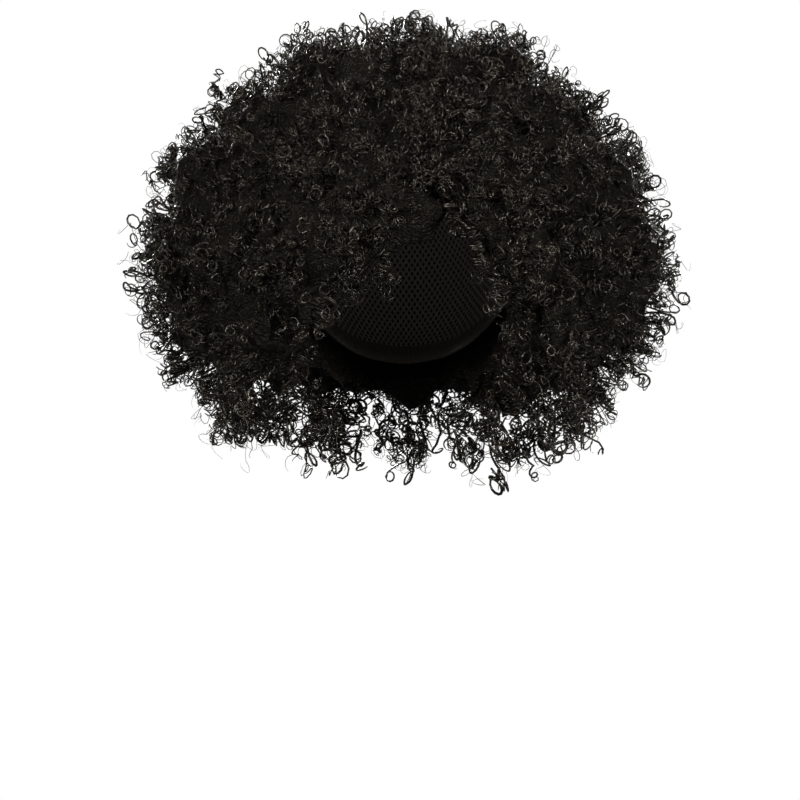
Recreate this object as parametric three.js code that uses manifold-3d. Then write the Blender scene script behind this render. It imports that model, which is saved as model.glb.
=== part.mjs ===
// A curly afro wig: a stretch cap shaped to the head, and seven sections of hair sewn on it.
// Millimetres, +Z up. The face looks along -Y, and left and right are the wearer's, so left is +X.
// The origin is where the cap sits on the top of the head.
import * as THREE from "three";
import { mergeVertices } from "three/addons/utils/BufferGeometryUtils.js";
import Module from "manifold-3d";

const wasm = await Module();
wasm.setup();

// The room for the wearer's head and neck
const headHalfWidth = 74;
const headHalfLength = 93;
const headHalfHeight = 90;
const neckHalfWidth = 56;
const neckHalfDepth = 60;
const neckSetBack = 8;
const neckTopDrop = 120;
const neckSegments = 12;

// The cap, with its hem turned in along the edge. hemShare is a share of the way from top to edge,
// and hemSlope is the share of the hem over which the wall thickens.
const capWall = 1.5;
const hemWall = 0.8;
const hemShare = 0.07;
const hemSlope = 0.2;
const capSegments = 24;
const capRows = 7;
const capGap = 0.35;

// How far down the head the cap's edge comes, in degrees from the top, at each bearing from the front
const capEdge = [
  { bearing: 0, reach: 50 },
  { bearing: 30, reach: 54 },
  { bearing: 52, reach: 71 },
  { bearing: 68, reach: 99 },
  { bearing: 88, reach: 94 },
  { bearing: 112, reach: 108 },
  { bearing: 142, reach: 128 },
  { bearing: 180, reach: 134 },
];

// The hair, measured from the middle of the whole head of hair to the tips of its locks
const hairCentreDrop = 75;
const hairSetBack = 8;
const hairTopReach = 172;
const hairRightReach = 204;
const hairLeftReach = 205;
const hairFrontReach = 156;
const hairBackReach = 190;
const hairBottomReach = 172;
const hairSegments = 28;
const hairRows = 12;
const hairEndPolar = 150;
const bottomHollowDrop = 125;

// What the hair's outline adds to or takes from a plain egg, as shares, by degrees from the top
const hairForm = [
  { polar: 0, right: 1.0, left: 1.0, front: 1.0, back: 1.0 },
  { polar: 22, right: 1.02, left: 1.02, front: 0.99, back: 1.0 },
  { polar: 45, right: 0.965, left: 0.98, front: 0.98, back: 0.99 },
  { polar: 66, right: 0.955, left: 0.965, front: 1.0, back: 0.99 },
  { polar: 90, right: 0.975, left: 0.985, front: 0.98, back: 1.0 },
  { polar: 100, right: 0.98, left: 0.995, front: 0.95, back: 1.0 },
  { polar: 115, right: 0.985, left: 0.96, front: 0.85, back: 0.985 },
  { polar: 130, right: 1.04, left: 1.02, front: 0.7, back: 0.98 },
  { polar: 150, right: 0.97, left: 1.07, front: 0.52, back: 1.0 },
];

// The gap in the hair for the face, seen from the front, from the parting and round by the wearer's left.
// across is a share of faceHalfWidth and down a share of faceDrop. The gap flares towards the front.
const faceHalfWidth = 70;
const faceDrop = 250;
const faceGap = [
  { across: 0.26, down: 0.132 },
  { across: 0.5, down: 0.212 },
  { across: 0.72, down: 0.315 },
  { across: 0.9, down: 0.43 },
  { across: 0.98, down: 0.55 },
  { across: 0.9, down: 0.72 },
  { across: 0.76, down: 0.88 },
  { across: 0.72, down: 1.1 },
  { across: -0.7, down: 1.1 },
  { across: -0.74, down: 0.88 },
  { across: -0.9, down: 0.74 },
  { across: -1.0, down: 0.56 },
  { across: -0.86, down: 0.47 },
  { across: -0.6, down: 0.385 },
  { across: -0.3, down: 0.32 },
  { across: 0.0, down: 0.235 },
];
const faceMiddle = 0.55;
const faceFlare = 1.1;
const faceLength = 240;

// The locks that stand out all over the hair. They wind through lockTurn degrees, droop towards the
// sides and hang lower past underPolar. lockFaceShare keeps their roots off the gap for the face.
const lockSpacing = 57;
const lockRadius = 26;
const lockStand = 27;
const lockSunk = 8;
const lockSides = 5;
const lockSwirl = 0.55;
const lockTurn = 380;
const lockDroop = 0.4;
const underDroop = 0.9;
const underPolar = 125;
const lockRowsFrom = 8;
const lockFaceShare = 1.16;
const lockShared = 0.3;
const radiusVary = 0.24;
const lengthVary = 0.2;

// A lock's width along its length, as shares of its radius and of its whole length
const lockTaper = [
  { along: 0, wide: 1.0 },
  { along: 0.42, wide: 0.95 },
  { along: 0.7, wide: 0.72 },
  { along: 0.93, wide: 0.4 },
];

// The ringlets that hang from the fringe in front of the forehead.
// across and down are shares of faceHalfWidth and faceDrop, at each ringlet's root and tip.
const ringletHelix = 6;
const ringletStrand = 2.4;
const ringletPitch = 14;
const ringletSides = 4;
const ringletSteps = 6;
const ringletForward = 104;
const ringletLean = 6;
const ringlets = [
  { section: "fringe_right", rootAcross: 0.06, rootDown: 0.13, tipAcross: -0.12, tipDown: 0.3 },
  { section: "fringe_right", rootAcross: -0.1, rootDown: 0.26, tipAcross: -0.26, tipDown: 0.41 },
  { section: "fringe_right", rootAcross: -0.42, rootDown: 0.3, tipAcross: -0.56, tipDown: 0.46 },
  { section: "fringe_right", rootAcross: -0.72, rootDown: 0.38, tipAcross: -0.84, tipDown: 0.54 },
  { section: "fringe_left", rootAcross: 0.4, rootDown: 0.13, tipAcross: 0.52, tipDown: 0.27 },
  { section: "fringe_left", rootAcross: 0.66, rootDown: 0.23, tipAcross: 0.74, tipDown: 0.38 },
  { section: "fringe_left", rootAcross: 0.88, rootDown: 0.34, tipAcross: 0.9, tipDown: 0.5 },
];

// The planes that part the hair into its sections
const sectionGap = 0.35;
const partingAcross = 18;
const napePolar = 112;

const hairCentre = new THREE.Vector3(0, hairSetBack, -hairCentreDrop);
const goldenShare = 0.618034;
const mergeDistance = 1e-4;
const rad = THREE.MathUtils.degToRad;
const clamp = THREE.MathUtils.clamp;

// A smooth reading between the rows of a table
function readTable(table, key, name, at) {
  const last = table.length - 1;
  const found = table.findIndex((row) => row[key] >= at);
  const upper = clamp(found < 0 ? last : found, 1, last);
  const [a, b, c, d] = [-2, -1, 0, 1].map((step) => table[clamp(upper + step, 0, last)][name]);
  const t = clamp((at - table[upper - 1][key]) / (table[upper][key] - table[upper - 1][key]), 0, 1);
  const bend = (2 * a - 5 * b + 4 * c - d) * t * t + (3 * b - a - 3 * c + d) * t * t * t;
  return b + 0.5 * ((c - a) * t + bend);
}

// A closed three.js geometry as a solid that can be joined and cut
function solidOf(geometry) {
  geometry.deleteAttribute("normal");
  geometry.deleteAttribute("uv");
  const merged = mergeVertices(geometry, mergeDistance);
  const vertProperties = new Float32Array(merged.attributes.position.array);
  const triVerts = new Uint32Array(merged.index.array);
  return new wasm.Manifold(new wasm.Mesh({ numProp: 3, vertProperties, triVerts }));
}

function geometryOf(solid) {
  const mesh = solid.getMesh();
  const geometry = new THREE.BufferGeometry();
  geometry.setAttribute("position", new THREE.BufferAttribute(mesh.vertProperties, 3));
  geometry.setIndex(new THREE.BufferAttribute(mesh.triVerts, 1));
  geometry.computeVertexNormals();
  return geometry;
}

// Moves each point of a geometry to where place says
function moved(geometry, place) {
  const position = geometry.attributes.position;
  const point = new THREE.Vector3();
  for (let i = 0; i < position.count; i++) {
    point.copy(place(point.fromBufferAttribute(position, i).clone()));
    position.setXYZ(i, point.x, point.y, point.z);
  }
  return geometry;
}

// The direction at a bearing, counted from the front towards the wearer's left, and degrees from the top
function directionAt(bearing, polar) {
  const flat = Math.sin(rad(polar));
  return new THREE.Vector3(
    flat * Math.sin(rad(bearing)),
    -flat * Math.cos(rad(bearing)),
    Math.cos(rad(polar)),
  );
}

// The bearing of a point of a geometry that was turned round three.js's own Y axis
function bearingOf(point) {
  return THREE.MathUtils.radToDeg(Math.atan2(point.x, point.z));
}

// A point of the head at a bearing and degrees from its top, with a cover of that thickness on it
function headPoint(bearing, polar, cover) {
  const at = directionAt(bearing, polar);
  const normal = new THREE.Vector3(
    at.x / headHalfWidth,
    at.y / headHalfLength,
    at.z / headHalfHeight,
  ).normalize();
  const surface = new THREE.Vector3(
    at.x * headHalfWidth,
    at.y * headHalfLength,
    at.z * headHalfHeight - headHalfHeight,
  );
  return surface.addScaledVector(normal, cover);
}

function capReach(bearing) {
  return readTable(capEdge, "bearing", "reach", Math.abs(bearing));
}

// The shares of the way from the cap's top to its edge at which its rows lie
const capShares = Array.from({ length: capRows + 1 }, (_, row) => row / capRows);

// The cap is a thin disc wrapped on the head, and its hem is a step on the inside along the edge
function makeCap() {
  const inside = capShares.filter((share) => share < 1 - hemShare);
  const profile = [
    ...inside.map((share) => new THREE.Vector2(share, 0)),
    new THREE.Vector2(1 - hemShare, 0),
    new THREE.Vector2(1 - hemShare * (1 - hemSlope), -hemWall),
    new THREE.Vector2(1, -hemWall),
    ...capShares.toReversed().map((share) => new THREE.Vector2(share, capWall)),
  ];
  const disc = new THREE.LatheGeometry(profile, capSegments);
  return solidOf(
    moved(disc, (point) => {
      const share = Math.hypot(point.x, point.z);
      const bearing = bearingOf(point);
      return headPoint(bearing, share * capReach(bearing), point.y);
    }),
  );
}

// The room that the head and the cap take out of the hair, with the cap's own rows on its surface.
// A profile point at -1 lies below the cap's edge, and its share counts up from the bottom of the head.
function makeHeadRoom() {
  const halfway = 0.5;
  const profile = [
    new THREE.Vector2(0, -1),
    new THREE.Vector2(halfway, -1),
    ...capShares.toReversed().map((share) => new THREE.Vector2(share, 0)),
  ];
  const ball = new THREE.LatheGeometry(profile, capSegments);
  return solidOf(
    moved(ball, (point) => {
      const share = Math.hypot(point.x, point.z);
      const bearing = bearingOf(point);
      const reach = capReach(bearing);
      const polar = point.y < 0 ? 180 - share * (180 - reach) : share * reach;
      return headPoint(bearing, polar, capWall + capGap);
    }),
  );
}

function makeNeckRoom() {
  const bottom = hairCentreDrop + hairBottomReach + lockStand;
  const length = bottom - neckTopDrop;
  const neck = new THREE.CylinderGeometry(1, 1, length, neckSegments);
  neck.rotateX(Math.PI / 2);
  neck.scale(neckHalfWidth, neckHalfDepth, 1);
  neck.translate(0, neckSetBack, -neckTopDrop - length / 2);
  return solidOf(neck);
}

function facePoint(row, share = 1) {
  const down = faceMiddle + (row.down - faceMiddle) * share;
  return new THREE.Vector2(row.across * share * faceHalfWidth, -down * faceDrop);
}

// The gap for the face, a little wider in front than at the skin
function makeFaceRoom() {
  const outline = new THREE.Shape(faceGap.map((row) => facePoint(row)).reverse());
  const room = new THREE.ExtrudeGeometry(outline, { depth: faceLength, bevelEnabled: false });
  room.rotateX(Math.PI / 2);
  return solidOf(
    moved(room, (point) => {
      const flare = 1 + ((faceFlare - 1) * -point.y) / faceLength;
      return new THREE.Vector3(point.x * flare, point.y, point.z);
    }),
  );
}

// How far the hair reaches from its middle, on one side and at one height
function meridianReach(name, polar) {
  const across = {
    right: hairRightReach,
    left: hairLeftReach,
    front: hairFrontReach,
    back: hairBackReach,
  }[name];
  const upright = polar < 90 ? hairTopReach : hairBottomReach;
  const egg = 1 / Math.hypot(Math.sin(rad(polar)) / across, Math.cos(rad(polar)) / upright);
  return egg * readTable(hairForm, "polar", name, polar);
}

// A point of the hair's outer form, which lies inset from the tips of the locks
function hairPoint(bearing, polar, inset) {
  const turn = rad(bearing);
  const side = meridianReach(Math.sin(turn) < 0 ? "right" : "left", polar);
  const face = meridianReach(Math.cos(turn) < 0 ? "back" : "front", polar);
  const reach = 1 / Math.hypot(Math.sin(turn) / side, Math.cos(turn) / face);
  return directionAt(bearing, polar).multiplyScalar(reach - inset).add(hairCentre);
}

// The body of the hair under its locks: a round form with a shallow hollow below
function makeHairBody() {
  const ball = new THREE.SphereGeometry(1, hairSegments, hairRows);
  return solidOf(
    moved(ball, (point) => {
      const polar = THREE.MathUtils.radToDeg(Math.acos(clamp(point.y, -1, 1)));
      const bearing = bearingOf(point);
      const outer = hairPoint(bearing, Math.min(polar, hairEndPolar), lockStand);
      const share = clamp((180 - polar) / (180 - hairEndPolar), 0, 1);
      const under = new THREE.Vector3(0, hairSetBack, -hairCentreDrop - bottomHollowDrop);
      return under.lerp(outer, share);
    }),
  );
}

// A lock: a tapered strip that winds round its own line as it goes out
function makeLock(root, direction, radius, length, phase) {
  const profile = lockTaper.map(
    (row) => new THREE.Vector2(row.wide * radius, row.along * length),
  );
  profile.unshift(new THREE.Vector2(0, 0));
  profile.push(new THREE.Vector2(0, length));
  const strip = new THREE.LatheGeometry(profile, lockSides);
  const turn = new THREE.Quaternion().setFromUnitVectors(new THREE.Vector3(0, 1, 0), direction);
  return solidOf(
    moved(strip, (point) => {
      const along = point.y / length;
      const wind = rad(phase + lockTurn * along);
      const swing = lockSwirl * radius * along;
      point.x += swing * Math.cos(wind);
      point.z += swing * Math.sin(wind);
      return point.applyQuaternion(turn).add(root);
    }),
  );
}

// True where a point seen from the front lies in the gap for the face, grown by a share
function inFaceGap(point, share) {
  const outline = faceGap.map((row) => facePoint(row, share));
  let inside = false;
  outline.forEach((a, i) => {
    const b = outline[(i + 1) % outline.length];
    const spans = a.y > point.z !== b.y > point.z;
    if (spans && point.x < ((b.x - a.x) * (point.z - a.y)) / (b.y - a.y) + a.x) inside = !inside;
  });
  return inside && point.y < 0;
}

// The roots and directions of all locks, in rows from the top of the head down
function placeLocks() {
  const places = [];
  const rowCount = Math.round((rad(hairEndPolar - lockRowsFrom) * hairTopReach) / lockSpacing);
  for (let row = 0; row <= rowCount; row++) {
    const polar = lockRowsFrom + ((hairEndPolar - lockRowsFrom) * row) / rowCount;
    const across = hairPoint(90, polar, lockStand).x;
    const count = Math.max(1, Math.round((2 * Math.PI * across) / lockSpacing));
    for (let i = 0; i < count; i++) {
      const number = places.length;
      const bearing = (360 * (i + 0.5 * (row % 2))) / count;
      const vary = (number * goldenShare) % 1;
      const surface = hairPoint(bearing, polar, lockStand);
      const root = hairPoint(bearing, polar, lockStand + lockSunk);
      const fall = lockDroop * Math.sin(rad(polar)) + (polar > underPolar ? underDroop : 0);
      const direction = directionAt(bearing, polar).sub(new THREE.Vector3(0, 0, fall)).normalize();
      places.push({ root, surface, direction, vary });
    }
  }
  return places.filter((place) => !inFaceGap(place.surface, lockFaceShare));
}

// A ringlet winds round a line from its root in the fringe to its tip
class RingletCurve extends THREE.Curve {
  constructor(root, tip) {
    super();
    this.root = root;
    this.tip = tip;
    this.turns = root.distanceTo(tip) / ringletPitch;
  }
  getPoint(t, target = new THREE.Vector3()) {
    const wind = 2 * Math.PI * this.turns * t;
    target.lerpVectors(this.root, this.tip, t);
    target.x += ringletHelix * Math.sin(wind);
    target.y += ringletHelix * (Math.cos(wind) - 1);
    return target;
  }
}

function makeRinglet(row) {
  const root = new THREE.Vector3(
    row.rootAcross * faceHalfWidth,
    -ringletForward,
    -row.rootDown * faceDrop,
  );
  const tip = new THREE.Vector3(
    row.tipAcross * faceHalfWidth,
    -ringletForward - ringletLean,
    -row.tipDown * faceDrop,
  );
  const curve = new RingletCurve(root, tip);
  const corners = Array.from({ length: ringletSides }, (_, i) => {
    const turn = (2 * Math.PI * i) / ringletSides;
    return new THREE.Vector2(Math.cos(turn), Math.sin(turn)).multiplyScalar(ringletStrand);
  });
  const steps = Math.round(curve.turns * ringletSteps);
  const shape = new THREE.Shape(corners);
  return solidOf(new THREE.ExtrudeGeometry(shape, { steps, extrudePath: curve }));
}

// The planes round each section. Each row is a direction that points into the section.
const slant = rad(90 - napePolar);
const upperNape = [0, -Math.sin(slant), Math.cos(slant)];
const lowerNape = [0, Math.sin(slant), -Math.cos(slant)];
const backSides = [[1, 1, 0], [-1, 1, 0]];
const sections = [
  { name: "crown_hair", planes: [[1, 0, 1], [-1, 0, 1], [0, 1, 1], [0, -1, 1]] },
  { name: "fringe_right", planes: [[0, -1, -1], [1, -1, 0], [-1, -1, 0]], parting: -1 },
  { name: "fringe_left", planes: [[0, -1, -1], [1, -1, 0], [-1, -1, 0]], parting: 1 },
  { name: "side_hair_right", planes: [[-1, 0, -1], [-1, 1, 0], [-1, -1, 0]] },
  { name: "side_hair_left", planes: [[1, 0, -1], [1, 1, 0], [1, -1, 0]] },
  { name: "back_hair", planes: [[0, 1, -1], ...backSides, upperNape] },
  { name: "nape_hair", planes: [...backSides, lowerNape] },
];

// The planes of a section with the point that each passes through
function sectionPlanes(section) {
  const planes = section.planes.map((row) => {
    const normal = new THREE.Vector3(...row).normalize();
    return { normal, offset: normal.dot(hairCentre) };
  });
  if (section.parting) {
    const normal = new THREE.Vector3(section.parting, 0, 0);
    planes.push({ normal, offset: section.parting * partingAcross });
  }
  return planes;
}

// What is left of a solid on the inner side of each plane
function cutAt(planes, solid) {
  return planes.reduce(
    (left, { normal, offset }) => left.trimByPlane(normal.toArray(), offset + sectionGap / 2),
    solid,
  );
}

// A lock that crosses a plane keeps its rooted part, and a tip that the cut takes off is left out
function rootedPart(lock) {
  const parts = lock.decompose();
  return parts.reduce((most, part) => (part.volume() > most.volume() ? part : most), parts[0]);
}

// A lock of its own size at a place, cut at a section's planes and clear of the wearer's head
function placedLock({ root, direction, vary }, planes) {
  const otherVary = (vary * 7) % 1;
  const radius = lockRadius * (1 + radiusVary * (vary - 0.5));
  const length = (lockSunk + lockStand) * (1 + lengthVary * (otherVary - 0.5));
  const lock = makeLock(root, direction, radius, length, 360 * vary);
  return rootedPart(cutAt(planes, lock).subtract(wearerRoom));
}

// A section: its share of the hair's body, joined to the locks that root in it and to its ringlets
function makeSection(section, body, locks) {
  const planes = sectionPlanes(section);
  const shared = lockShared * lockRadius;
  const own = locks.filter((lock) =>
    planes.every(({ normal, offset }) => normal.dot(lock.surface) >= offset - shared),
  );
  const ownRinglets = ringlets.filter((ringlet) => ringlet.section === section.name);
  let solid = cutAt(planes, body);
  for (const place of own) solid = solid.add(placedLock(place, planes));
  for (const row of ownRinglets) solid = solid.add(makeRinglet(row));
  return solid;
}

const capMaterial = new THREE.MeshStandardMaterial({ color: 0x14110f, roughness: 0.9 });
const hairMaterial = new THREE.MeshStandardMaterial({ color: 0x0d0b0a, roughness: 0.45 });

const wig = new THREE.Group();

function addPiece(name, solid, material) {
  const mesh = new THREE.Mesh(geometryOf(solid), material);
  mesh.name = name;
  wig.add(mesh);
}

addPiece("cap", makeCap(), capMaterial);
const wearerRoom = makeHeadRoom().add(makeNeckRoom());
const hairBody = makeHairBody().subtract(wearerRoom).subtract(makeFaceRoom());
const locks = placeLocks();
for (const section of sections)
  addPiece(section.name, makeSection(section, hairBody, locks), hairMaterial);

export default wig;
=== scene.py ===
# %% [markdown]
# # A curly afro wig
# This notebook dresses the plain solids of a wig in thousands of small corkscrew curls. The solids
# come first, because every curl is rooted on one of them, and their box is kept so that the curls
# can be held within a margin round it.

# %% Load the solids
import math

import bmesh
import bpy
import numpy as np
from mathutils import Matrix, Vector, noise
from mathutils.bvhtree import BVHTree


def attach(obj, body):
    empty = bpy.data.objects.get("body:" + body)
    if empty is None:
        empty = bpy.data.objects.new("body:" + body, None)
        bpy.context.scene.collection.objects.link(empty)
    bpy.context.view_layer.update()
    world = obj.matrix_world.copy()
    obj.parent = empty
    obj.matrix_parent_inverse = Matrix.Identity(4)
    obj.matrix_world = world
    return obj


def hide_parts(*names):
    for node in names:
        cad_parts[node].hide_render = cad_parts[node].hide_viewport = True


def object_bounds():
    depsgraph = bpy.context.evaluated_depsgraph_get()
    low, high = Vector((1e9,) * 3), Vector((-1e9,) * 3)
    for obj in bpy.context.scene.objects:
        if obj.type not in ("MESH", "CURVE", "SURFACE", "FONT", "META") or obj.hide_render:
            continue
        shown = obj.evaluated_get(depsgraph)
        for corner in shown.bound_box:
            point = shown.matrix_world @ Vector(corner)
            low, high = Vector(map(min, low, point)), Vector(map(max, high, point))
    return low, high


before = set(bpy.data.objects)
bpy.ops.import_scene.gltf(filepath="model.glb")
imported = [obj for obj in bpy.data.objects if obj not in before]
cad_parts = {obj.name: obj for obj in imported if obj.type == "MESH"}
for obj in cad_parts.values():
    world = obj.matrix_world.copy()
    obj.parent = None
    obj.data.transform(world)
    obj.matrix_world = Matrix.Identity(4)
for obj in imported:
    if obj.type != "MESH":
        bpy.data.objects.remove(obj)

solid_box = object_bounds()
hair_nodes = sorted(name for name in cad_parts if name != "cap")
print("hair sections:", hair_nodes)
print("box of the solids:", [tuple(round(value, 3) for value in corner) for corner in solid_box])

# %% [markdown]
# ## The camera
# The photograph is 800 pixels wide and shows 1.4 pixels for each millimetre at the middle of the
# head. It was taken straight from the front, so the camera looks along +Y. A long lens well away
# from the wig flattens the view, as a product photograph does.

# %% Camera
PHOTO_PIXELS = 800
PIXELS_PER_METRE = 1400.0
CAMERA_DISTANCE = 2.6
SENSOR_WIDTH = 0.036
HEAD_MIDDLE_PIXEL = 405
HEAD_TOP_PIXEL = 150


def placed(name, data):
    """A new object in the scene that holds a mesh, a light or a camera."""
    piece = bpy.data.objects.new(name, data)
    bpy.context.scene.collection.objects.link(piece)
    return piece


view_width = PHOTO_PIXELS / PIXELS_PER_METRE
view_middle_x = (PHOTO_PIXELS / 2 - HEAD_MIDDLE_PIXEL) / PIXELS_PER_METRE
view_middle_z = (HEAD_TOP_PIXEL - PHOTO_PIXELS / 2) / PIXELS_PER_METRE

camera_data = bpy.data.cameras.new("camera")
camera_data.sensor_width = SENSOR_WIDTH * 1000
camera_data.lens = 1000 * SENSOR_WIDTH * CAMERA_DISTANCE / view_width
camera = placed("camera", camera_data)
camera.location = (view_middle_x, -CAMERA_DISTANCE, view_middle_z)
camera.rotation_euler = (math.radians(90), 0, 0)
bpy.context.scene.camera = camera
print("lens, mm:", round(camera_data.lens, 1))

# %% [markdown]
# ## The finish of the curls
# Synthetic hair is a bundle of smooth fibres, so a curl is near black with a soft, broken shine. Each
# curl carries its own random tint in an attribute, which keeps neighbours apart. The UV map runs along
# the curl, so a noise stretched that way draws the fibres as fine streaks. A second noise makes some
# patches glossy and others dull, which breaks the shine into specks.


# %% A helper for materials
def new_material(name):
    material = bpy.data.materials.new(name)
    material.use_nodes = True
    nodes = material.node_tree.nodes
    return material, nodes, material.node_tree.links, nodes["Principled BSDF"]


def add_node(nodes, kind, **values):
    """A new shader node with its unlinked sockets or properties set by name."""
    node = nodes.new(kind)
    for name, value in values.items():
        if name in node.inputs:
            node.inputs[name].default_value = value
        else:
            setattr(node, name, value)
    return node


def mapped(nodes, links, source, before, after):
    """A value carried over from one range to another."""
    node = add_node(nodes, "ShaderNodeMapRange")
    for name, value in zip(("From Min", "From Max", "To Min", "To Max"), before + after):
        node.inputs[name].default_value = value
    links.new(source, node.inputs["Value"])
    return node.outputs["Result"]


def blended(nodes, links, share, low_colour, high_colour):
    """A colour between two others."""
    node = add_node(nodes, "ShaderNodeMix", data_type="RGBA")
    node.inputs[6].default_value = low_colour
    node.inputs[7].default_value = high_colour
    links.new(share, node.inputs[0])
    return node.outputs[2]


def raised(nodes, links, height, strength, distance):
    """The normals of a surface that a height value raises."""
    node = add_node(nodes, "ShaderNodeBump", Strength=strength, Distance=distance)
    links.new(height, node.inputs["Height"])
    return node.outputs["Normal"]


# %% Curl material
DEEP_BLACK = (0.0010, 0.0008, 0.0006, 1)
BROWN_BLACK = (0.0070, 0.0054, 0.0040, 1)
WARM_SHINE = (1.0, 0.91, 0.76, 1)
FIBRE_STREAKS = (1.2, 9, 1)
PATCH_RANGE = (0.40, 0.54)
GLOSSY_TO_DULL = (0.16, 0.36)

curl_finish, nodes, links, shader = new_material("curled_fibre")
tint = add_node(nodes, "ShaderNodeAttribute", attribute_name="tint")
shade = blended(nodes, links, tint.outputs["Fac"], DEEP_BLACK, BROWN_BLACK)
links.new(shade, shader.inputs["Base Color"])

place = add_node(nodes, "ShaderNodeTexCoord")
streaks = add_node(nodes, "ShaderNodeMapping")
streaks.inputs["Scale"].default_value = FIBRE_STREAKS
fibres = add_node(nodes, "ShaderNodeTexNoise", Scale=2.0, Detail=3.0, Roughness=0.6)
links.new(place.outputs["UV"], streaks.inputs["Vector"])
links.new(streaks.outputs["Vector"], fibres.inputs["Vector"])
patches = add_node(nodes, "ShaderNodeTexNoise", Scale=340.0, Detail=2.0)
links.new(place.outputs["Object"], patches.inputs["Vector"])
gloss = mapped(nodes, links, patches.outputs["Fac"], PATCH_RANGE, GLOSSY_TO_DULL)
links.new(gloss, shader.inputs["Roughness"])
grooves = raised(nodes, links, fibres.outputs["Fac"], strength=0.6, distance=0.0003)
links.new(grooves, shader.inputs["Normal"])
shader.inputs["Specular IOR Level"].default_value = 0.36
shader.inputs["Specular Tint"].default_value = WARM_SHINE
print("material:", curl_finish.name)

# %% [markdown]
# ## The finish of the hair underneath
# Between the curls one looks into the depth of the hair, where more rings of hair lie in the dark.
# Rings can be drawn without any geometry: the distance to the middle of a Voronoi cell grows in
# circles, and a sine of that distance gives one ring inside another. Noise bends the circles first.
# Only the tops of the rings are glossy, and the hollows between them are dull and painted near black as
# shade.

# %% Under-hair material
RING_CELLS = 125.0
RING_WAVES = 22.0
RING_BEND = 0.006
RING_DEPTHS = (0.3, 1.6)
# Painted shade: the hollows between the rings are darker than any hair.
HOLLOW_PAINTED_SHADE = (0.0003, 0.0003, 0.0002, 1)
RING_BLACK = (0.0050, 0.0040, 0.0030, 1)
DULL_TO_GLOSSY = (0.60, 0.28)

under_finish, nodes, links, shader = new_material("tangled_under_hair")
place = add_node(nodes, "ShaderNodeTexCoord")
tangle = add_node(nodes, "ShaderNodeTexNoise", Scale=180.0, Detail=3.0, Roughness=0.6)
links.new(place.outputs["Object"], tangle.inputs["Vector"])
bent = add_node(nodes, "ShaderNodeMix", data_type="VECTOR")
bent.inputs[0].default_value = RING_BEND
links.new(place.outputs["Object"], bent.inputs[4])
links.new(tangle.outputs["Color"], bent.inputs[5])
cells = add_node(nodes, "ShaderNodeTexVoronoi", Scale=RING_CELLS)
links.new(bent.outputs[1], cells.inputs["Vector"])
waves = add_node(nodes, "ShaderNodeMath", operation="MULTIPLY")
waves.inputs[1].default_value = RING_WAVES
links.new(cells.outputs["Distance"], waves.inputs[0])
rings = add_node(nodes, "ShaderNodeMath", operation="SINE")
links.new(waves.outputs["Value"], rings.inputs[0])
height = add_node(nodes, "ShaderNodeMath", operation="ADD")
links.new(rings.outputs["Value"], height.inputs[0])
links.new(tangle.outputs["Fac"], height.inputs[1])
relief = raised(nodes, links, height.outputs["Value"], strength=0.9, distance=0.0016)
links.new(relief, shader.inputs["Normal"])
# Low ring height takes the painted shade colour, ring tops take the hair's own dark brown.
depth = mapped(nodes, links, height.outputs["Value"], RING_DEPTHS, (0.0, 1.0))
shade = blended(nodes, links, depth, HOLLOW_PAINTED_SHADE, RING_BLACK)
links.new(shade, shader.inputs["Base Color"])
dulling = mapped(nodes, links, depth, (0.0, 1.0), DULL_TO_GLOSSY)
links.new(dulling, shader.inputs["Roughness"])
shader.inputs["Specular IOR Level"].default_value = 0.12
shader.inputs["Specular Tint"].default_value = WARM_SHINE
print("material:", under_finish.name)

# %% [markdown]
# ## Where the hair is rooted
# All sections were parted by planes through one point, the middle of the head of hair. Surfaces on
# those planes are hidden seams, and surfaces close to the cap are hidden too. The ringlets of the
# fringe stay free as well, because they are made on their own later. Curls are rooted on all the
# other surfaces, so the script sorts the triangles of each solid first.
#
# The hair isn't equally dense everywhere. It is thinner on the inside, denser low down, in the fringe
# and along the parting, and thin again beside the neck, where one sees through it. Each row of the
# table of ringlets gives a section, the root and the tip as shares of the face gap's half width and
# drop, and the ringlet's radius and pitch.

# %% Read the solids as arrays
HAIR_MIDDLE = np.array((0.0, 0.008, -0.075))
PARTING_X = 0.018
SEAM_REACH = 0.0012
CAP_REACH = 0.0025
INNER_SHARE = 0.42
LOW_BELOW = -0.16
LOW_SHARE = 1.4
NECK_FROM = (-0.150, -0.185)
NECK_SIDE = (0.115, 0.085)
NECK_MIDDLE = (0.028, 0.045)
NECK_THINNED = 0.55
PARTING_REACH = 0.014
PARTING_FACING = 0.99
PARTING_SHARE = 4.5
FRINGE_SHARE = 1.6
RINGLET_REACH = 0.0095
RINGLET_FREE_FROM = 0.3
FACE_HALF_WIDTH = 0.070
FACE_DROP = 0.250
RINGLET_FRONT = -0.104
RINGLET_LEAN = -0.006
RINGLETS = [
    ("fringe_right", (0.06, 0.13), (-0.12, 0.30), 0.0055, 0.011),
    ("fringe_right", (-0.10, 0.26), (-0.26, 0.41), 0.0048, 0.019),
    ("fringe_right", (-0.42, 0.30), (-0.56, 0.46), 0.0052, 0.010),
    ("fringe_right", (-0.72, 0.38), (-0.84, 0.54), 0.0058, 0.012),
    ("fringe_left", (0.40, 0.13), (0.52, 0.27), 0.0062, 0.010),
    ("fringe_left", (0.66, 0.23), (0.74, 0.38), 0.0056, 0.011),
    ("fringe_left", (0.88, 0.34), (0.90, 0.50), 0.0054, 0.012),
]


def unit(vectors):
    return vectors / np.maximum(np.linalg.norm(vectors, axis=-1, keepdims=True), 1e-9)


def tree_of(node_name):
    solid = bmesh.new()
    solid.from_mesh(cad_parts[node_name].data)
    tree = BVHTree.FromBMesh(solid)
    solid.free()
    return tree


cap_tree = tree_of("cap")


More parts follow.
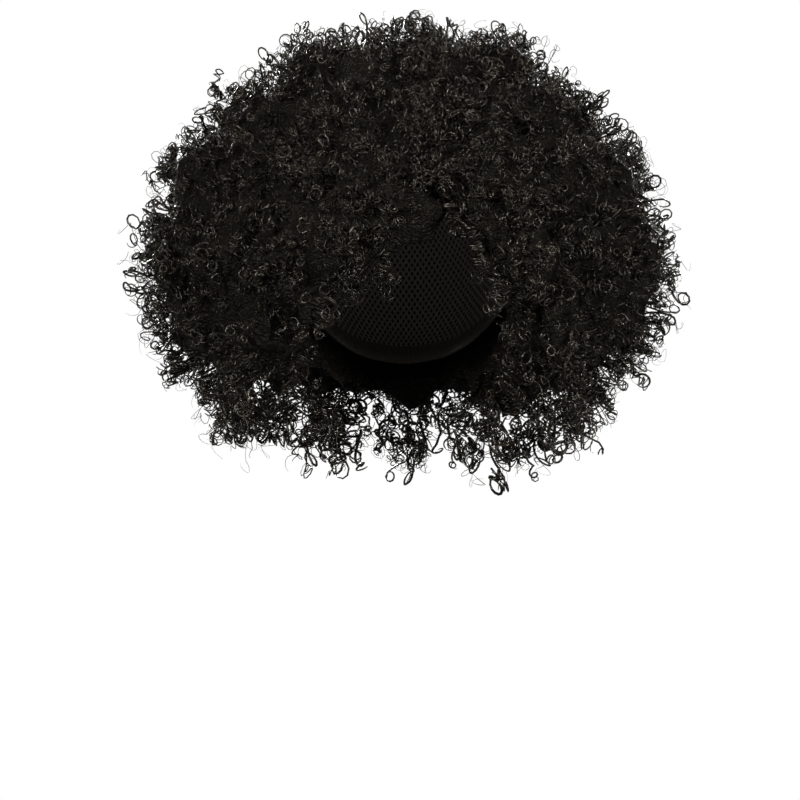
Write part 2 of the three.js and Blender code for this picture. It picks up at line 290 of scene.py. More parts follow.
def ringlet_ends(root, tip):
    """Where a ringlet starts and ends in front of the forehead."""
    start = (root[0] * FACE_HALF_WIDTH, RINGLET_FRONT, -root[1] * FACE_DROP)
    end = (tip[0] * FACE_HALF_WIDTH, RINGLET_FRONT + RINGLET_LEAN, -tip[1] * FACE_DROP)
    return np.array(start), np.array(end)


def ringlet_gap(points):
    """How far each point lies from the free part of the nearest ringlet's middle line."""
    gaps = []
    for _, root, tip, _, _ in RINGLETS:
        start, end = ringlet_ends(root, tip)
        along = end - start
        share = np.clip((points - start) @ along / (along @ along), RINGLET_FREE_FROM, 1)
        gaps.append(np.linalg.norm(points - start - share[:, None] * along, axis=1))
    return np.min(gaps, axis=0)


def triangles_of(node_name):
    """The corners of each triangle of a node, its area and its outward normal."""
    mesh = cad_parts[node_name].data
    mesh.calc_loop_triangles()
    points = np.zeros(len(mesh.vertices) * 3)
    mesh.vertices.foreach_get("co", points)
    corners = np.zeros(len(mesh.loop_triangles) * 3, int)
    mesh.loop_triangles.foreach_get("vertices", corners)
    triangles = points.reshape(-1, 3)[corners].reshape(-1, 3, 3)
    across = np.cross(triangles[:, 1] - triangles[:, 0], triangles[:, 2] - triangles[:, 0])
    double_area = np.linalg.norm(across, axis=1)
    return triangles, double_area / 2, across / np.maximum(double_area, 1e-12)[:, None]


def ramp(values, start, end):
    """A rise from 0 at start to 1 at end."""
    return np.clip((values - start) / (end - start), 0, 1)


def beside_neck(points):
    """How far a point lies in the thin hair that hangs low beside the neck, from 0 to 1."""
    aside = np.abs(points[:, 0])
    return ramp(points[:, 2], *NECK_FROM) * ramp(aside, *NECK_SIDE) * ramp(aside, *NECK_MIDDLE)


def rooting_weight(triangles, area, normal):
    """How many curls root on each triangle: none on a seam, on a ringlet or close to the cap."""
    middle = triangles.mean(axis=1)
    through_middle = np.abs(((middle - HAIR_MIDDLE) * normal).sum(axis=1)) < SEAM_REACH
    on_parting = (np.abs(normal[:, 0]) > PARTING_FACING) & (np.abs(middle[:, 0] - PARTING_X) < SEAM_REACH)
    cap_gap = np.array([cap_tree.find_nearest(Vector(point))[3] for point in middle])
    hidden = through_middle | on_parting | (cap_gap < CAP_REACH) | (ringlet_gap(middle) < RINGLET_REACH)
    facing = (normal * unit(middle - HAIR_MIDDLE)).sum(axis=1)
    inner = np.where(facing < 0, INNER_SHARE, 1.0)
    low = np.where(middle[:, 2] < LOW_BELOW, LOW_SHARE, 1.0)
    thinned = 1 - NECK_THINNED * beside_neck(middle)
    by_parting = np.abs(middle[:, 0] - PARTING_X) < PARTING_REACH
    parted = np.where(by_parting & (middle[:, 1] < 0) & (facing > 0), PARTING_SHARE, 1.0)
    return np.where(hidden, 0.0, area * inner * (low * thinned) * parted)


surfaces = {}
for name in hair_nodes:
    triangles, area, normal = triangles_of(name)
    weight = rooting_weight(triangles, area, normal)
    if name.startswith("fringe"):
        weight *= FRINGE_SHARE
    surfaces[name] = (triangles, normal, weight)
    print(name, "rooting area, cm2:", round(weight.sum() * 1e4), "of", round(area.sum() * 1e4))

# %% [markdown]
# ## The round outline
# The locks of the solids leave valleys between them. Real curls spring up and fill those, so the
# script wraps a convex hull round the hair and measures how far below it each root lies.

# %% Hull
hull = bmesh.new()
for name in hair_nodes:
    hull.from_mesh(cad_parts[name].data)
wrapped = bmesh.ops.convex_hull(hull, input=hull.verts, use_existing_faces=False)
left_over = set(wrapped["geom_interior"] + wrapped["geom_unused"])
inside = [item for item in left_over if isinstance(item, bmesh.types.BMVert)]
bmesh.ops.delete(hull, geom=inside, context="VERTS")
hull_tree = BVHTree.FromBMesh(hull)
print("hull faces:", len(hull.faces))
hull.free()


def valley_depth(point, outward):
    """How far the hull lies beyond a point, straight outwards."""
    hit = hull_tree.ray_cast(Vector(point), Vector(outward))
    return hit[3] if hit[0] is not None else 0.0


# %% [markdown]
# ## The under-hair
# Each section gets a dark inner form that its curls stand on. It is a copy of the solid, remeshed into
# even small faces so that it can be shaped, drawn in towards the middle of the hair, and roughened.
# In a valley it is drawn in less, so that it ends up rounder than the solid. Remeshing rounds the
# edges of a section, which would leave a dark groove along each seam. So each form swells a little
# into its neighbours first. Beside the face the form steps back sideways, and it keeps off the head.
# Low down it is drawn up as well, because there the photograph shows loose curls alone. Blender's
# noise vectors start from the clock unless they are given a seed, so they get one here, and the
# forms come out the same each time.

# %% Under-hair
REMESH_SIZE = 0.008
SWELL = 0.0045
DRAWN_IN = 0.0145
VALLEY_REACH = 0.019
VALLEY_LIFT = 0.7
DRAWN_IN_BELOW = 0.014
FULL_DRAW_DEPTH = 0.030
LIFT_BELOW = -0.140
LIFT_SHARE = 0.42
LIFT_WANDER = 0.45
LIFT_SCALE = 40.0
ROUGH_HEIGHT = 0.0055
ROUGH_SCALE = 95.0
ROUGH_SEED = 20
GAP_STEP = 0.016
GAP_INNER = 0.060
GAP_REACH = 0.045
GAP_BELOW = -0.040
FACE_SIDE_DEPTH = 0.030
HEAD_MIDDLE = np.array((0.0, 0.0, -0.090))
HEAD_HALF = np.array((0.074, 0.093, 0.090))
HEAD_ROOM = 0.0032


def kept_off_head(points):
    """Moves points that come closer to the head than the cap's outside out to that distance."""
    level = np.linalg.norm((points - HEAD_MIDDLE) / (HEAD_HALF + HEAD_ROOM), axis=-1, keepdims=True)
    return HEAD_MIDDLE + (points - HEAD_MIDDLE) / np.clip(level, 1e-3, 1.0)


def beside_face(point):
    """How far a point in front of the ears steps sideways from the face gap."""
    share = min(max(1 - (abs(point.x) - GAP_INNER) / GAP_REACH, 0), 1)
    ahead = min(max(-point.y / FACE_SIDE_DEPTH, 0), 1)
    return math.copysign(GAP_STEP * share * ahead, point.x)


def drawn_in(point):
    """Where a point of the solid goes in the under-hair."""
    cap_gap = cap_tree.find_nearest(point)[3]
    inward = Vector(HAIR_MIDDLE) - point
    share = min(cap_gap / FULL_DRAW_DEPTH, 1.0)
    below = min(max((LIFT_BELOW - point.z) / -LIFT_BELOW, 0.0), 1.0)
    inward.normalize()
    lift = min(valley_depth(point, -inward), VALLEY_REACH) * VALLEY_LIFT
    place = point + inward * (DRAWN_IN + DRAWN_IN_BELOW * below - lift) * share
    place += noise.noise_vector(place * ROUGH_SCALE) * ROUGH_HEIGHT * share
    if place.z < GAP_BELOW:
        place.x += beside_face(point) * share
    if place.z < LIFT_BELOW:
        keep = LIFT_SHARE + LIFT_WANDER * noise.noise(place * LIFT_SCALE)
        place.z = LIFT_BELOW + (place.z - LIFT_BELOW) * keep
    return Vector(kept_off_head(np.array(place)))


def make_under_hair(node_name):
    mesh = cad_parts[node_name].data.copy()
    body = bmesh.new()
    body.from_mesh(mesh)
    bmesh.ops.remove_doubles(body, verts=body.verts, dist=1e-6)
    body.to_mesh(mesh)
    body.free()
    piece = placed(node_name + "_under", mesh)
    remesh = piece.modifiers.new("even", "REMESH")
    remesh.mode = "VOXEL"
    remesh.voxel_size = REMESH_SIZE
    remesh.use_smooth_shade = True
    evened = piece.evaluated_get(bpy.context.evaluated_depsgraph_get())
    even_mesh = bpy.data.meshes.new_from_object(evened)
    piece.modifiers.clear()
    piece.data = even_mesh
    body = bmesh.new()
    body.from_mesh(even_mesh)
    body.normal_update()
    swollen = {vert: vert.co + vert.normal * SWELL for vert in body.verts}
    for vert, place in swollen.items():
        vert.co = drawn_in(place)
    every_axis = {"use_axis_x": True, "use_axis_y": True, "use_axis_z": True}
    bmesh.ops.smooth_vert(body, verts=body.verts, factor=0.5, **every_axis)
    bmesh.ops.recalc_face_normals(body, faces=body.faces)
    body.to_mesh(even_mesh)
    body.free()
    even_mesh.materials.clear()
    even_mesh.materials.append(under_finish)
    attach(piece, "root")
    return piece


noise.seed_set(ROUGH_SEED)
for name in hair_nodes:
    make_under_hair(name)
    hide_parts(name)

# %% [markdown]
# ## The cap
# The wig is sewn on a stretch cap, a thin net with an elastic hem. Through the face gap and from below
# one looks into it. A sphere already has the rows and columns that such a cap needs, so each of its
# points is moved to the head by its bearing and its share of the way to the cap's edge. The lower half
# is dropped, and solidify gives the net its wall. The UV map counts bearing and share in centimetres.

# %% Cap net
CAP_WALL = 0.0015
HEM_WALL = 0.0008
HEM_SHARE = 0.07
CAP_COLUMNS = 72
CAP_ROWS = 56
CORNER_ROUNDING = np.array((-12, -6, 0, 6, 12))
CAP_EDGE = {0: 50, 30: 54, 52: 71, 68: 99, 88: 94, 112: 108, 142: 128, 180: 134}
CM_ROUND = 0.15
CM_DOWN = 16.0


def cap_reach(bearing):
    """Degrees from the top to the cap's edge, with the table's corners rounded off."""
    near = np.abs((bearing + CORNER_ROUNDING + 180) % 360 - 180)
    return np.interp(near, list(CAP_EDGE), list(CAP_EDGE.values())).mean()


def on_head(bearing, polar, cover):
    """A point at a bearing from the front and degrees from the top, that far outside the head."""
    turn, down = math.radians(bearing), math.radians(polar)
    at = np.array((math.sin(down) * math.sin(turn), -math.sin(down) * math.cos(turn), math.cos(down)))
    return Vector(HEAD_MIDDLE + at * HEAD_HALF + unit(at / HEAD_HALF) * cover)


shell = bmesh.new()
bmesh.ops.create_uvsphere(shell, u_segments=CAP_COLUMNS, v_segments=CAP_ROWS, radius=1.0)
lower = [vert for vert in shell.verts if vert.co.z < -1e-6]
bmesh.ops.delete(shell, geom=lower, context="VERTS")
place_of = {}
for vert in shell.verts:
    bearing = math.degrees(math.atan2(vert.co.x, -vert.co.y))
    share = math.degrees(math.acos(min(vert.co.z, 1.0))) / 90
    place_of[vert] = (bearing, share)
    vert.co = on_head(bearing, share * cap_reach(bearing), 0.0)
weave_map = shell.loops.layers.uv.new("weave")
for face in shell.faces:
    round_values = [place_of[vert][0] for vert in face.verts if place_of[vert][1] > 1e-6]
    over_back = max(round_values) - min(round_values) > 180
    turned_on = [value + 360 * (over_back and value < 0) for value in round_values]
    middle_round = sum(turned_on) / len(turned_on)
    for loop in face.loops:
        bearing, share = place_of[loop.vert]
        bearing += 360 * (over_back and bearing < 0)
        if share <= 1e-6:
            bearing = middle_round
        loop[weave_map].uv = (bearing * CM_ROUND, share * CM_DOWN)
bmesh.ops.recalc_face_normals(shell, faces=shell.faces)
outward = sum(face.normal.dot(face.calc_center_median() - Vector(HEAD_MIDDLE)) for face in shell.faces)
if outward < 0:
    bmesh.ops.reverse_faces(shell, faces=shell.faces)
bmesh.ops.solidify(shell, geom=shell.faces, thickness=-CAP_WALL)
print("cap faces:", len(shell.faces))

# %% [markdown]
# The hem is folded in along the edge, so the wall is thicker there. The inside of that strip moves
# inwards, and its faces take the elastic band's finish.

# %% Cap hem
def head_gap(point):
    """How far a point lies outside the head, nearly."""
    relative = (np.array(point) - HEAD_MIDDLE) / HEAD_HALF
    return (np.linalg.norm(relative) - 1) * HEAD_HALF.mean()


def share_down(point):
    """The share of the way from the cap's top to its edge at a point."""
    at = (np.array(point) - HEAD_MIDDLE) / HEAD_HALF
    bearing = math.degrees(math.atan2(at[0], -at[1]))
    polar = math.degrees(math.atan2(math.hypot(at[0], at[1]), at[2]))
    return polar / cap_reach(bearing)


hem_faces = [face for face in shell.faces if share_down(face.calc_center_median()) > 1 - HEM_SHARE]
for face in hem_faces:
    face.material_index = 1
hem_points = {vert for face in hem_faces for vert in face.verts}
for vert in hem_points:
    if head_gap(vert.co) < CAP_WALL / 2:
        inward = Vector(unit((HEAD_MIDDLE - np.array(vert.co)) / HEAD_HALF**2))
        vert.co += inward * HEM_WALL
for face in shell.faces:
    face.smooth = True
cap_mesh = bpy.data.meshes.new("cap_shell")
shell.to_mesh(cap_mesh)
shell.free()
print("hem faces:", len(hem_faces))

# %% [markdown]
# The net is drawn by two sets of threads that cross on the slant. A sine across each set is highest on
# a thread, and the higher of the two gives both the colour and the bump. The hem is a ribbed elastic,
# so its sine runs round the head only, and the grooves between its ribs are painted darker as shade.

# %% Cap finishes
THREADS_PER_CM = 4.0
RIBS_PER_CM = 7.0
THREAD_HEIGHTS = (-0.2, 1.0)
NET_HOLLOW = (0.026, 0.023, 0.020, 1)
NET_THREAD = (0.240, 0.215, 0.185, 1)
# On the hem the darker colour is painted shade in the grooves between the ribs.
HEM_GROOVE_SHADE = (0.042, 0.038, 0.032, 1)
HEM_THREAD = (0.240, 0.215, 0.190, 1)


def sine_of_map(nodes, links, round_share, down_share):
    """A wave over the cap's map, with so many periods in a centimetre round and down."""
    place = add_node(nodes, "ShaderNodeTexCoord")
    slant = add_node(nodes, "ShaderNodeVectorMath", operation="DOT_PRODUCT")
    slant.inputs[1].default_value = (2 * math.pi * round_share, 2 * math.pi * down_share, 0)
    wave = add_node(nodes, "ShaderNodeMath", operation="SINE")
    links.new(place.outputs["UV"], slant.inputs[0])
    links.new(slant.outputs["Value"], wave.inputs[0])
    return wave.outputs["Value"]


def woven_finish(name, height_of, hollow_colour, thread_colour):
    material, nodes, links, shader = new_material(name)
    height = height_of(nodes, links)
    # Low places take the hollow colour: the holes of the net, or painted shade in the hem's grooves.
    level = mapped(nodes, links, height, THREAD_HEIGHTS, (0.0, 1.0))
    shade = blended(nodes, links, level, hollow_colour, thread_colour)
    links.new(shade, shader.inputs["Base Color"])
    relief = raised(nodes, links, height, strength=0.8, distance=0.0005)
    links.new(relief, shader.inputs["Normal"])
    shader.inputs["Roughness"].default_value = 0.85
    shader.inputs["Specular IOR Level"].default_value = 0.3
    print("material:", name)
    return material


def net_height(nodes, links):
    higher = add_node(nodes, "ShaderNodeMath", operation="MAXIMUM")
    links.new(sine_of_map(nodes, links, THREADS_PER_CM / 2, THREADS_PER_CM / 2), higher.inputs[0])
    links.new(sine_of_map(nodes, links, THREADS_PER_CM / 2, -THREADS_PER_CM / 2), higher.inputs[1])
    return higher.outputs["Value"]


def rib_height(nodes, links):
    return sine_of_map(nodes, links, RIBS_PER_CM, 0)


cap_mesh.materials.append(woven_finish("stretch_net", net_height, NET_HOLLOW, NET_THREAD))
cap_mesh.materials.append(woven_finish("elastic_hem", rib_height, HEM_GROOVE_SHADE, HEM_THREAD))
cap_shell = placed("cap_shell", cap_mesh)
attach(cap_shell, "root")
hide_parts("cap")

# %% [markdown]
# ## A curl
# A curl is a thin tube wound round a line. Thousands of them are needed, so each is a plain
# three-sided tube with smooth shading, which looks round at this size, and all curls of a section are
# written into one mesh from arrays. The tube follows a formula: a line runs from the root to the tip
# and sags, and the curl turns round it. A curl whose tip stands far out still has to grow from the
# hair, so the first third of each curl leads back to the place where it is rooted.


# %% Tubes from arrays
def tubes_to_arrays(centres, beside, radii, sides):
    """Corners and faces of closed tubes, one along each row of centres."""
    count, steps = radii.shape
    along = unit(np.gradient(centres, axis=1))
    beside = unit(beside - along * (beside * along).sum(axis=-1, keepdims=True))
    third = np.cross(along, beside)
    turn = 2 * np.pi * np.arange(sides) / sides
    spoke = (
        beside[:, :, None, :] * np.cos(turn)[None, None, :, None]
        + third[:, :, None, :] * np.sin(turn)[None, None, :, None]
    )
    points = (centres[:, :, None, :] + radii[:, :, None, None] * spoke).reshape(-1, 3)

    corner = np.arange(count * steps * sides).reshape(count, steps, sides)
    after = np.roll(corner, -1, axis=2)
    quads = np.stack([corner[:, :-1], after[:, :-1], after[:, 1:], corner[:, 1:]], axis=-1)
    return points, quads.reshape(-1, 4), corner[:, 0, ::-1], corner[:, -1, :]


def tube_mesh(name, groups, tints):
    """One mesh from several groups of tubes. A group is (centres, beside, radii, sides)."""
    all_points, all_loops, all_sizes, all_uv, all_tint = [], [], [], [], []
    start = 0
    for (centres, beside, radii, sides), tint_values in zip(groups, tints):
        count, steps = radii.shape
        points, quads, first, last = tubes_to_arrays(centres, beside, radii, sides)
        step_length = np.linalg.norm(np.diff(centres, axis=1), axis=-1)
        reach = np.concatenate([np.zeros((count, 1)), np.cumsum(step_length, axis=1)], axis=1) * 100
        u = np.stack([reach[:, :-1], reach[:, :-1], reach[:, 1:], reach[:, 1:]], axis=-1)
        u = np.broadcast_to(u[:, :, None, :], (count, steps - 1, sides, 4))
        lane = np.arange(sides) / sides
        v = np.stack([lane, lane + 1 / sides, lane + 1 / sides, lane], axis=-1)
        v = np.broadcast_to(v[None, None], (count, steps - 1, sides, 4))
        all_points.append(points)
        all_loops += [(quads + start).ravel(), (first + start).ravel(), (last + start).ravel()]
        all_sizes += [np.full(len(quads), 4), np.full(2 * count, sides)]
        all_uv += [np.stack([u, v], axis=-1).reshape(-1, 2), np.zeros((2 * count * sides, 2))]
        all_tint.append(np.repeat(tint_values, steps * sides))
        start += len(points)
    mesh = bpy.data.meshes.new(name)
    points = np.concatenate(all_points)
    loops = np.concatenate(all_loops)
    sizes = np.concatenate(all_sizes)
    mesh.vertices.add(len(points))
    mesh.vertices.foreach_set("co", points.ravel())
    mesh.loops.add(len(loops))
    mesh.loops.foreach_set("vertex_index", loops)
    mesh.polygons.add(len(sizes))
    mesh.polygons.foreach_set("loop_start", np.concatenate([[0], np.cumsum(sizes)[:-1]]))
    mesh.polygons.foreach_set("use_smooth", np.ones(len(sizes), bool))
    mesh.uv_layers.new(name="along").data.foreach_set("uv", np.concatenate(all_uv).ravel())
    values = np.repeat(np.concatenate(all_tint)[:, None], 4, axis=1)
    values[:, 3] = 1
    mesh.color_attributes.new("tint", "FLOAT_COLOR", "POINT").data.foreach_set("color", values.ravel())
    mesh.update(calc_edges=True)
    mesh.validate()
    return mesh


# %% [markdown]
# ## Kinds of curl
# The photograph shows three kinds. Many are tight corkscrews. Others end in one or two round rings,
# which show best against the light at the outline. Between them runs a frizz of thin hairs. A table
# gives the sizes of each kind in metres and its tilt in radians, and each curl draws its own values
# from the ranges.
#
# The values below the table say where the curls change. In a valley they stand up to fill it, at the
# sides they reach further, and low down some end deeper inside, so that the edge there is loose.
# Low down they are also a little bolder, and beside the neck they are bolder and wider still.

# %% Kinds of curl
CURL_KINDS = {
    "corkscrew": {
        "share": 0.53,
        "steps": 26,
        "turns": (2.5, 3.4),
        "ring": (0.0018, 0.0036),
        "pitch": (0.0022, 0.0044),
        "strand": (0.00042, 0.00076),
        "tilt": (0.2, 1.35),
        "beyond": (-0.012, 0.001),
    },
    "ring": {
        "share": 0.21,
        "steps": 19,
        "turns": (1.4, 2.0),
        "ring": (0.0030, 0.0050),
        "pitch": (0.0018, 0.0044),
        "strand": (0.00056, 0.00110),
        "tilt": (0.7, 1.57),
        "beyond": (-0.008, 0.003),
    },
    "frizz": {
        "share": 0.26,
        "steps": 14,
        "turns": (1.1, 1.9),
        "ring": (0.0020, 0.0054),
        "pitch": (0.0040, 0.0100),
        "strand": (0.00014, 0.00030),
        "tilt": (0.0, 1.5),
        "beyond": (-0.007, 0.008),
    },
}
OUTER_FACING = 0.2
OUTWARD_PULL = 0.9
VALLEY_FILL = 0.026
VALLEY_SHARES = (0.3, 1.0)
INNER_BACK = -0.008
FULL_BELOW = (-0.080, -0.120)
FULL_ASIDE = (0.070, 0.110)
FULL_SIDE = 0.012
BOLD_BELOW = (-0.120, -0.180)
BOLDER = 0.20
NECK_BOLDER = 0.20
NECK_WIDER = 0.35
DEEP_BELOW = (-0.110, -0.160)
DEEPER = 0.030
LOW_LEVEL = 0.50
DOWNWARD = 0.35
BEND = 0.22
SAG = 0.25
UNEVEN = 0.05
UNEVEN_WAVES = 1.5
TURN_WANDER = 0.25
TURN_PHASE = 6.28
ROOT_OPENING = 0.55
OPENED_AFTER = 0.25
OPENING_WANDER = 0.25
TIP_TAPER = 0.72
STEM_COIL = 0.8
STEM_SHARE = 0.35
STEM_ROOT = 0.006
STEM_RISE = 0.012
HANG_BELOW = (-0.150, -0.205)
OUTLINE_LOW = np.array(solid_box[0]) - (0.013, 0.016, 0.013)
OUTLINE_HIGH = np.array(solid_box[1]) + (0.013, 0.016, 0.010)


def pick_roots(random, node_name, count):
    """Random points on a section with the way outwards and the depth of the valley there."""
    triangles, normal, weight = surfaces[node_name]
    chosen = random.choice(len(weight), count, p=weight / weight.sum())
    share = random.random((count, 2))
    share = np.where(share.sum(axis=1, keepdims=True) > 1, 1 - share, share)
    corner = triangles[chosen]
    points = (
        corner[:, 0]
        + share[:, :1] * (corner[:, 1] - corner[:, 0])
        + share[:, 1:] * (corner[:, 2] - corner[:, 0])
    )
    radial = unit(points - HAIR_MIDDLE)
    outer = (normal[chosen] * radial).sum(axis=1) > OUTER_FACING
    outward = unit(normal[chosen] + np.where(outer, OUTWARD_PULL, 0.0)[:, None] * radial)
    depth = [
        min(valley_depth(point, way), VALLEY_FILL) if seen else INNER_BACK
        for point, way, seen in zip(points, radial, outer)
    ]
    return points, outward, np.array(depth)


def kept_inside(centres):
    """Moves each curl that reaches past the outline's limits back to them, and off the head."""
    back = np.minimum(OUTLINE_HIGH - centres.max(axis=1), 0)
    forth = np.maximum(OUTLINE_LOW - centres.min(axis=1), 0)
    return kept_off_head(centres + (back + forth)[:, None])


def curl_axis(random, outward, tilt):
    """The way each curl points: outwards, tilted to a random side, and a little down."""
    count = len(outward)
    sideways = unit(np.cross(outward, random.normal(size=(count, 3))))
    axis = outward * np.cos(tilt) + sideways * np.sin(tilt)
    return unit(axis + np.array((0, 0, -DOWNWARD)) * random.random((count, 1)))


def curl_reach(random, beyond, points, depth):
    """How far beyond its root each curl ends."""
    count = len(points)
    height, aside = points[:, 2], np.abs(points[:, 0])
    fuller = FULL_SIDE * ramp(height, *FULL_BELOW) * ramp(aside, *FULL_ASIDE)
    depth = depth * (1 - LOW_LEVEL * ramp(height, *BOLD_BELOW))
    reach = random.uniform(*beyond, (count, 1)) + fuller[:, None]
    reach = reach + depth[:, None] * random.uniform(*VALLEY_SHARES, (count, 1))
    return reach - DEEPER * ramp(points[:, 2:], *DEEP_BELOW) * random.random((count, 1)) ** 2


def winding(random, axis, turns, t):
    """The direction from the middle line to the curl at each step along it."""
    count = len(axis)
    first = unit(np.cross(axis, random.normal(size=(count, 3))))
    second = np.cross(axis, first) * random.choice((-1.0, 1.0), (count, 1))
    angle = 2 * np.pi * (turns * t + random.random((count, 1)))
    angle = angle + TURN_WANDER * np.sin(2 * angle / np.pi + TURN_PHASE * random.random((count, 1)))
    return first[:, None] * np.cos(angle)[..., None] + second[:, None] * np.sin(angle)[..., None]


def with_stem(curl, coil, points, outward, t):
    """Leads the first part of each curl back to where it is rooted, with the coil kept."""
    anchor = points - outward * STEM_ROOT
    anchor[:, 2] += STEM_RISE * ramp(points[:, 2], *HANG_BELOW)
    loose = ramp(t, 0, STEM_SHARE)[..., None]
    return (anchor[:, None] + STEM_COIL * coil) * (1 - loose) + curl * loose


def curl_lines(random, kind, points, outward, depth):
    """The centre line, the winding direction and the thickness of each curl of one kind."""
    count = len(points)
    sizes = ("turns", "ring", "pitch", "strand", "tilt")
    turns, ring, pitch, strand, tilt = (random.uniform(*kind[name], (count, 1)) for name in sizes)
    axis = curl_axis(random, outward, tilt)
    bend = random.normal(size=(count, 3)) * BEND + np.array((0, 0, -SAG))
    length = turns * pitch
    tip = points + outward * curl_reach(random, kind["beyond"], points, depth)
    root = tip - (axis + bend) * length

    t = np.linspace(0, 1, kind["steps"])[None, :]
    uneven = t + UNEVEN * np.sin(2 * np.pi * (t * UNEVEN_WAVES + random.random((count, 1))))
    line = (
        root[:, None]
        + (axis * length)[:, None] * uneven[..., None]
        + (bend * length)[:, None] * (t**2)[..., None]
    )
    spoke = winding(random, axis, turns, t)
    opening = ROOT_OPENING + (1 - ROOT_OPENING) * np.minimum(t / OPENED_AFTER, 1)
    opening = opening + random.uniform(-OPENING_WANDER, OPENING_WANDER, (count, 1)) * t
    near_neck = beside_neck(points)[:, None]
    strand = strand * (1 + BOLDER * ramp(points[:, 2:], *BOLD_BELOW) + NECK_BOLDER * near_neck)
    ring = ring * (1 + NECK_WIDER * near_neck)
    coil = spoke * (ring * opening)[..., None]
    curl = kept_inside(line + coil)
    return with_stem(curl, coil, points, outward, t), spoke, strand * (1 - TIP_TAPER * t**3)


# %% [markdown]
# ## Growing the curls
# The number of curls of a section follows its area. A section with many curls is split into several
# meshes, because a mesh with under 200,000 triangles stays quick to handle. Each draw uses its own
# seed, so that the hair comes out the same each time.

# %% Growing the curls
ALL_CURLS = 7450
CURLS_PER_MESH = 1600
CURL_SIDES = 3
SEED = 20


def tints_for(random, count):
    """Random tints, most of them near black."""
    return random.random(count) ** 2


total_area = sum(surface[2].sum() for surface in surfaces.values())
made_triangles = 0
for number, name in enumerate(hair_nodes):
    share = surfaces[name][2].sum() / total_area
    wanted = round(ALL_CURLS * share)
    meshes = math.ceil(wanted / CURLS_PER_MESH)
    for part in range(meshes):
        random = np.random.default_rng([SEED, number, part])
        groups, tints = [], []
        for kind in CURL_KINDS.values():
            count = round(wanted / meshes * kind["share"])
            points, outward, depth = pick_roots(random, name, count)
            centres, beside, radii = curl_lines(random, kind, points, outward, depth)
            groups.append((centres, beside, radii, CURL_SIDES))
            tints.append(tints_for(random, count))
        mesh = tube_mesh(f"{name}_curls_{part + 1}", groups, tints)
        mesh.materials.append(curl_finish)
        piece = placed(mesh.name, mesh)
        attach(piece, "root")
        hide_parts(name)
        triangles = sum(len(polygon.vertices) - 2 for polygon in mesh.polygons)
        made_triangles += triangles
        print(mesh.name, "curls:", round(wanted / meshes), "triangles:", triangles)
print("triangles in all curls:", made_triangles)

# %% [markdown]
# ## The ringlets of the fringe
# Seven ringlets hang free in front of the forehead. They follow the routes that the solids have, but
# each is a lock of several thin strands which wind together, some loosely and some as tight as a
# spring. The strands start close together, and part a little more towards the tip.

# %% Fringe ringlets
STRANDS_IN_RINGLET = 5
STRAND_RADIUS = 0.00105
STRAND_SPREAD = 0.0004
STRAND_SIDES = 4
STRAND_LAG = 0.04
STRAND_LENGTHS = (0.82, 1.0)
STRAND_SIZES = (0.7, 1.15)
STRAND_TAPER = 0.7
SPREAD_AT_ROOT = 0.6
SLIM_ENDS = 0.85
WIDE_MIDDLE = 0.35
STEPS_PER_TURN = 12


def ringlet_group(random, root, tip, ring, pitch):
    """The strands of one ringlet as a group of tubes."""
    start, end = ringlet_ends(root, tip)
    axis = end - start
    turns = np.linalg.norm(axis) / pitch
    steps = round(turns * STEPS_PER_TURN)
    t = np.linspace(0, 1, steps)[None, :]
    lag = random.uniform(-STRAND_LAG, STRAND_LAG, (STRANDS_IN_RINGLET, 1))
    angle = 2 * np.pi * (turns * t + lag + random.random())
    across = unit(np.cross(axis, (0, 1, 0)))
    ahead = unit(np.cross(across, axis))
    spoke = across * np.cos(angle)[..., None] + ahead * np.sin(angle)[..., None]
    wander = random.normal(size=(STRANDS_IN_RINGLET, 1, 3)) * STRAND_SPREAD
    reach = random.uniform(*STRAND_LENGTHS, (STRANDS_IN_RINGLET, 1, 1))
    opening = ring * (SLIM_ENDS + WIDE_MIDDLE * np.sin(np.pi * t))[..., None]
    apart = wander * (SPREAD_AT_ROOT + t[..., None])
    centres = start + axis * (t[..., None] * reach) + spoke * opening + apart
    size = STRAND_RADIUS * random.uniform(*STRAND_SIZES, (STRANDS_IN_RINGLET, 1))
    return centres, spoke, size * (1 - STRAND_TAPER * t**3), STRAND_SIDES


for section in ("fringe_right", "fringe_left"):
    random = np.random.default_rng([SEED, len(section)])
    rows = [row[1:] for row in RINGLETS if row[0] == section]
    groups = [ringlet_group(random, *row) for row in rows]
    tints = [tints_for(random, STRANDS_IN_RINGLET) for _ in rows]
    mesh = tube_mesh(section + "_ringlets", groups, tints)
    mesh.materials.append(curl_finish)
    piece = placed(mesh.name, mesh)
    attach(piece, "root")
    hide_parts(section)
    print(mesh.name, "ringlets:", len(rows))

# %% [markdown]
# ## The stage
# A plain white floor is lit as brightly as the backdrop, so that the two run into each other as they
# do in the photograph. From below one sees through it. Two soft lights stand left and right in
# front, a weak one hangs above and two stand behind, as in a small product studio. The room and the
# floor look white to the camera, but they give the hair little light, or black hair would look grey.

# %% Floor and backdrop
FLOOR_Z = -0.45
FLOOR_HALF_WIDTH = 4.0
FLOOR_LIGHT = 0.2


def white_but_dim(nodes, links, dim):
    """A strength of 1 for the camera, and a weaker one for the light that falls on the hair."""
    rays = add_node(nodes, "ShaderNodeLightPath")
    return mapped(nodes, links, rays.outputs["Is Camera Ray"], (0.0, 1.0), (dim, 1.0))


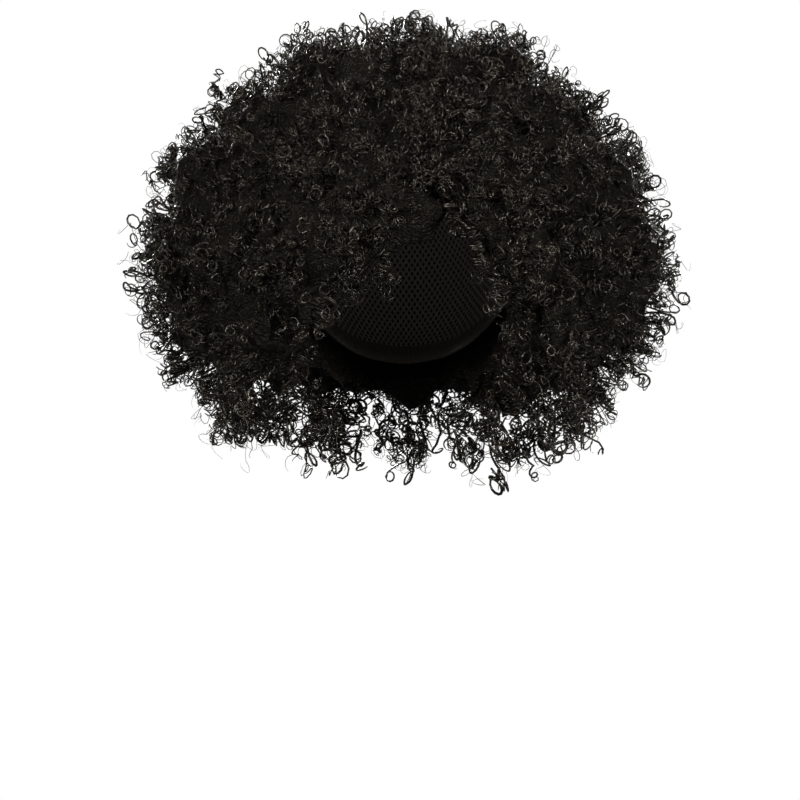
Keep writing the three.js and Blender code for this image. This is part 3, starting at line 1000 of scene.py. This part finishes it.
stage_finish, nodes, links, shader = new_material("white_paper")
glow = add_node(nodes, "ShaderNodeEmission")
links.new(white_but_dim(nodes, links, FLOOR_LIGHT), glow.inputs["Strength"])
nothing = add_node(nodes, "ShaderNodeBsdfTransparent")
side = add_node(nodes, "ShaderNodeNewGeometry")
paper = add_node(nodes, "ShaderNodeMixShader")
links.new(side.outputs["Backfacing"], paper.inputs["Fac"])
links.new(glow.outputs["Emission"], paper.inputs[1])
links.new(nothing.outputs["BSDF"], paper.inputs[2])
links.new(paper.outputs["Shader"], nodes["Material Output"].inputs["Surface"])

sweep = bmesh.new()
bmesh.ops.create_grid(sweep, x_segments=1, y_segments=1, size=FLOOR_HALF_WIDTH)
bmesh.ops.translate(sweep, verts=sweep.verts, vec=(0, 0, FLOOR_Z))
floor_mesh = bpy.data.meshes.new("floor")
sweep.to_mesh(floor_mesh)
sweep.free()
floor_mesh.materials.append(stage_finish)
floor = placed("floor", floor_mesh)

# %% Lights
ROOM_LIGHT = 0.07
LIT_POINT = Vector((0, 0, -0.1))

world = bpy.data.worlds.new("studio")
bpy.context.scene.world = world
world.use_nodes = True
nodes, links = world.node_tree.nodes, world.node_tree.links
room = nodes["Background"]
room.inputs["Color"].default_value = (1, 1, 1, 1)
links.new(white_but_dim(nodes, links, ROOM_LIGHT), room.inputs["Strength"])


def add_light(name, place, size, power):
    """A square soft light that looks at the wig from a place."""
    data = bpy.data.lights.new(name, "AREA")
    data.energy = power
    data.size = size
    light = placed(name, data)
    light.location = place
    light.rotation_euler = (LIT_POINT - Vector(place)).to_track_quat("-Z", "Y").to_euler()


add_light("left_softbox", (-1.3, -1.5, 0.3), 0.42, 72)
add_light("right_softbox", (1.4, -1.4, 0.25), 0.42, 76)
add_light("top_softbox", (0.0, -0.2, 1.6), 0.5, 6)
add_light("back_left_softbox", (-0.7, 1.9, 0.5), 0.5, 38)
add_light("back_right_softbox", (0.7, 1.9, 0.5), 0.5, 38)
bpy.context.scene.view_settings.view_transform = "Standard"
